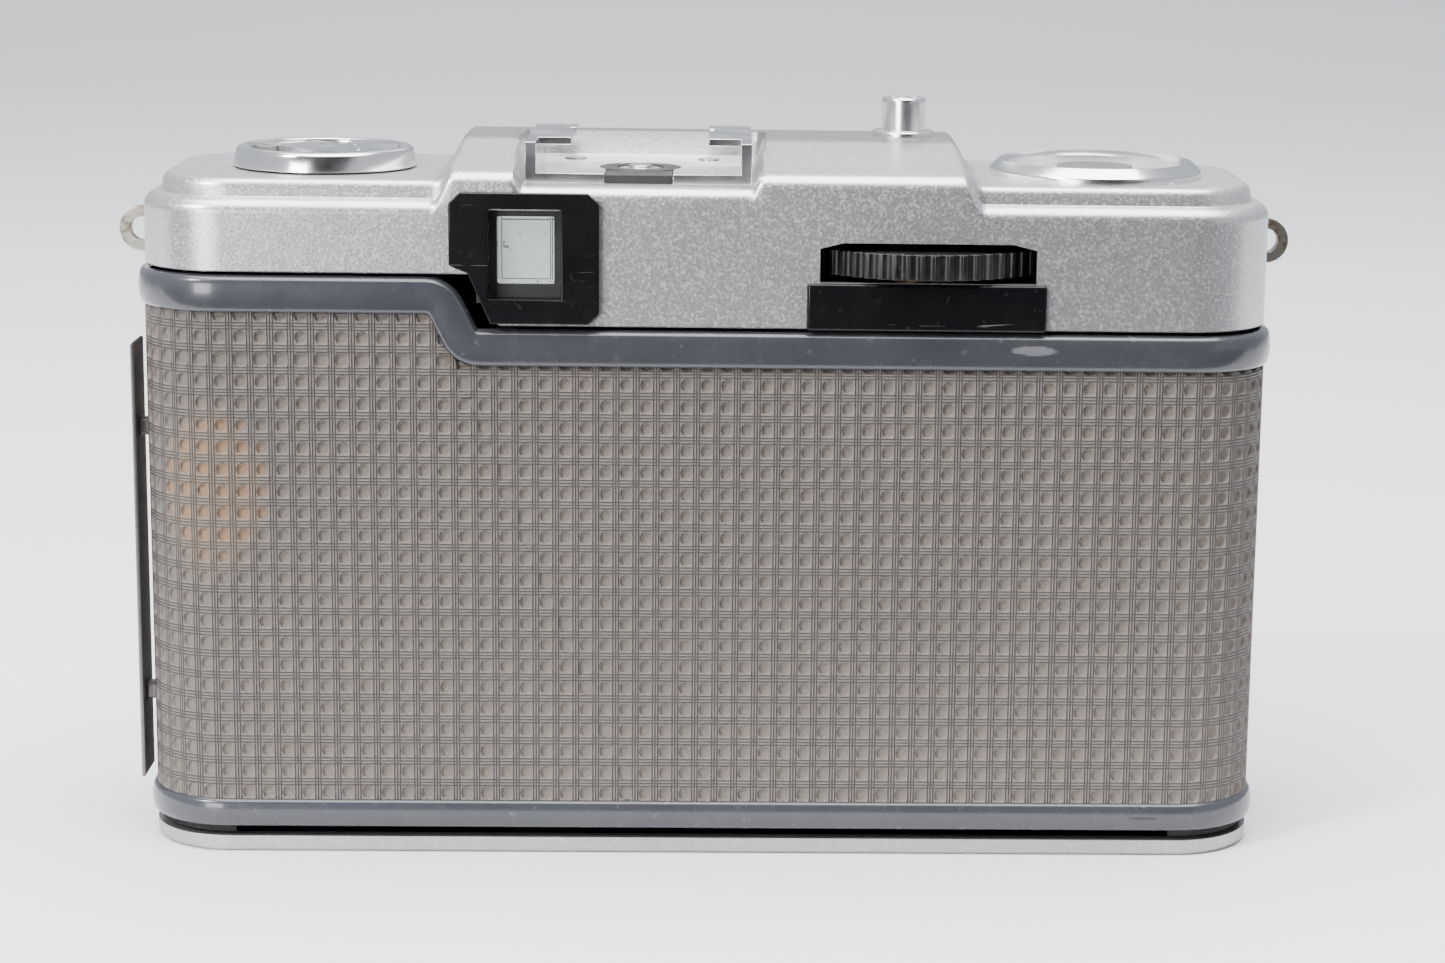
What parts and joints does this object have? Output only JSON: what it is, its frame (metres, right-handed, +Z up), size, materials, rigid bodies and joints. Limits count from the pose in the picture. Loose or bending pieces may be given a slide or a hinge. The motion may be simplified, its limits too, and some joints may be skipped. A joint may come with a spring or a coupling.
{
  "type": "film camera",
  "caption": "Compact half-frame 35 mm film camera with hinged back door, accessory shoe, rewind crank, film advance wheel and selenium ring round the lens.",
  "frame": {"origin": "mouth of the tripod socket in the base, under the lens axis", "axes": "+X to the right of a person looking at the back door, +Y from the back door to the lens, +Z up"},
  "size_m": [0.1132, 0.0502, 0.071],
  "materials": {
    "painted_casting": "slate grey gloss paint",
    "leatherette": "embossed taupe vinyl",
    "satin_chrome": "satin chrome plate",
    "bright_chrome": "polished chrome plate",
    "steel": "machined steel",
    "lug_nickel": "worn nickel",
    "black_gloss": "gloss black",
    "black_matte": "matt black",
    "anodised": "turned aluminium",
    "black_anodised": "black anodised",
    "brass": "machined brass",
    "dial": "pale dial",
    "clear": "clear",
    "lens_glass": "coated",
    "selenium": "selenium layer",
    "foam": "foam",
    "red_paint": "red"
  },
  "bodies": {
    "camera": {"body_front": "black_matte", "front_rims": "painted_casting", "deck_plates": "black_matte", "film_chambers": "black_matte", "film_gate": "black_matte", "front_leatherette": "leatherette", "base_plate": "satin_chrome", "tripod_bush": "steel", "screws": "steel", "top_cover": "satin_chrome", "wheel_guard": "black_gloss", "eyepiece_frame": "black_gloss", "eyepiece_lens": "clear", "finder_tube": "black_matte", "finder_window": "bright_chrome", "finder_objective": "lens_glass", "hot_shoe": "bright_chrome", "shoe_insulator": "black_matte", "shoe_contact": "steel", "strap_lugs": "lug_nickel", "release_collar": "bright_chrome", "release_spring": "steel", "counter_bezel": "bright_chrome", "counter_window": "clear", "hinge_ears": "painted_casting", "hinge_pins": "steel", "light_seals": "foam", "lens_base": "satin_chrome", "lens_barrel": "anodised", "selenium_cell": "selenium", "cell_window": "clear", "rear_element": "lens_glass", "shutter_plate": "black_matte", "meter_housing": "black_matte"},
    "door": {"back_door": "painted_casting", "door_leatherette": "leatherette", "pressure_spring": "steel"},
    "pressure": {"pressure_plate": "black_matte"},
    "latch": {"latch_plate": "satin_chrome"},
    "button": {"shutter_button": "bright_chrome", "release_rod": "steel"},
    "rewind_lift": {"rewind_sleeve": "steel"},
    "rewind": {"rewind_knob": "bright_chrome", "rewind_fork_pin": "steel"},
    "crank": {"rewind_crank": "bright_chrome"},
    "grip": {"crank_grip": "bright_chrome"},
    "advance": {"thumbwheel": "black_matte", "wheel_gear": "brass", "sprocket_drum": "black_anodised"},
    "spool": {"take_up_spool": "black_matte", "spool_gear": "brass"},
    "counter": {"counter_dial": "dial"},
    "release": {"rewind_release": "steel"},
    "focus": {"focus_ring": "black_anodised", "front_bezel": "black_anodised", "front_element": "lens_glass"},
    "aperture": {"aperture_ring": "anodised"},
    "blade_upper": {"shutter_blade_upper": "black_matte"},
    "blade_lower": {"shutter_blade_lower": "black_matte"},
    "needle": {"meter_needle": "red_paint"}
  },
  "joints": [
    {"name": "door_hinge", "type": "hinge", "parent": "camera", "child": "door", "pos_m": [0.0533, -0.0016, 0.027], "axis": [0, 0, 1], "range_deg": [0, 110]},
    {"name": "pressure_float", "type": "slide", "parent": "door", "child": "pressure", "axis": [0, -1, 0], "range_m": [0, 0.0004], "stiffness_N_per_m": 400, "springref_m": -0.0002},
    {"name": "latch_slide", "type": "slide", "parent": "door", "child": "latch", "axis": [0, 0, -1], "range_m": [0, 0.0025], "stiffness_N_per_m": 150, "springref_m": -0.002},
    {"name": "shutter_press", "type": "slide", "parent": "camera", "child": "button", "axis": [0, 0, -1], "range_m": [0, 0.0018], "stiffness_N_per_m": 250, "springref_m": -0.002, "deforming": ["release_spring"]},
    {"name": "rewind_pull", "type": "slide", "parent": "camera", "child": "rewind_lift", "axis": [0, 0, 1], "range_m": [0, 0.007]},
    {"name": "rewind_spin", "type": "hinge", "parent": "rewind_lift", "child": "rewind", "pos_m": [-0.037, 0, 0.065], "axis": [0, 0, 1], "continuous": true},
    {"name": "crank_fold", "type": "hinge", "parent": "rewind", "child": "crank", "pos_m": [-0.04045, 0.00289, 0.066], "axis": [0.6428, 0.766, 0], "range_deg": [-155, 0]},
    {"name": "grip_spin", "type": "hinge", "parent": "crank", "child": "grip", "pos_m": [-0.03317, -0.00321, 0.0655], "axis": [0, 0, 1], "continuous": true},
    {"name": "wheel_spin", "type": "hinge", "parent": "camera", "child": "advance", "pos_m": [0.0205, -0.0034, 0.057], "axis": [0, 0, 1], "continuous": true},
    {"name": "spool_spin", "type": "hinge", "parent": "camera", "child": "spool", "pos_m": [0.0373, 0, 0.03], "axis": [0, 0, 1], "continuous": true},
    {"name": "counter_spin", "type": "hinge", "parent": "camera", "child": "counter", "pos_m": [0.0373, 0, 0.062], "axis": [0, 0, 1], "continuous": true},
    {"name": "rewind_button_press", "type": "slide", "parent": "camera", "child": "release", "axis": [0, 0, 1], "range_m": [0, 0.0008], "stiffness_N_per_m": 200, "springref_m": -0.001},
    {"name": "focus_turn", "type": "hinge", "parent": "camera", "child": "focus", "pos_m": [0, 0.025, 0.027], "axis": [0, 1, 0], "range_deg": [-45, 45]},
    {"name": "aperture_turn", "type": "hinge", "parent": "camera", "child": "aperture", "pos_m": [0, 0.019, 0.027], "axis": [0, 1, 0], "range_deg": [-110, 110]},
    {"name": "blade_upper_swing", "type": "hinge", "parent": "camera", "child": "blade_upper", "pos_m": [0, 0.0058, 0.0344], "axis": [0, 1, 0], "range_deg": [0, 42]},
    {"name": "blade_lower_swing", "type": "hinge", "parent": "camera", "child": "blade_lower", "pos_m": [0, 0.0058, 0.0196], "axis": [0, 1, 0], "range_deg": [0, 42]},
    {"name": "needle_swing", "type": "hinge", "parent": "camera", "child": "needle", "pos_m": [-0.003, 0.0117, 0.0548], "axis": [0, 1, 0], "range_deg": [-20, 20]}
  ],
  "couplings": [
    {"joint": "spool_spin", "follows": "wheel_spin", "ratio": -0.78571},
    {"joint": "counter_spin", "follows": "wheel_spin", "ratio": -0.016667},
    {"joint": "blade_lower_swing", "follows": "blade_upper_swing", "ratio": 1}
  ]
}
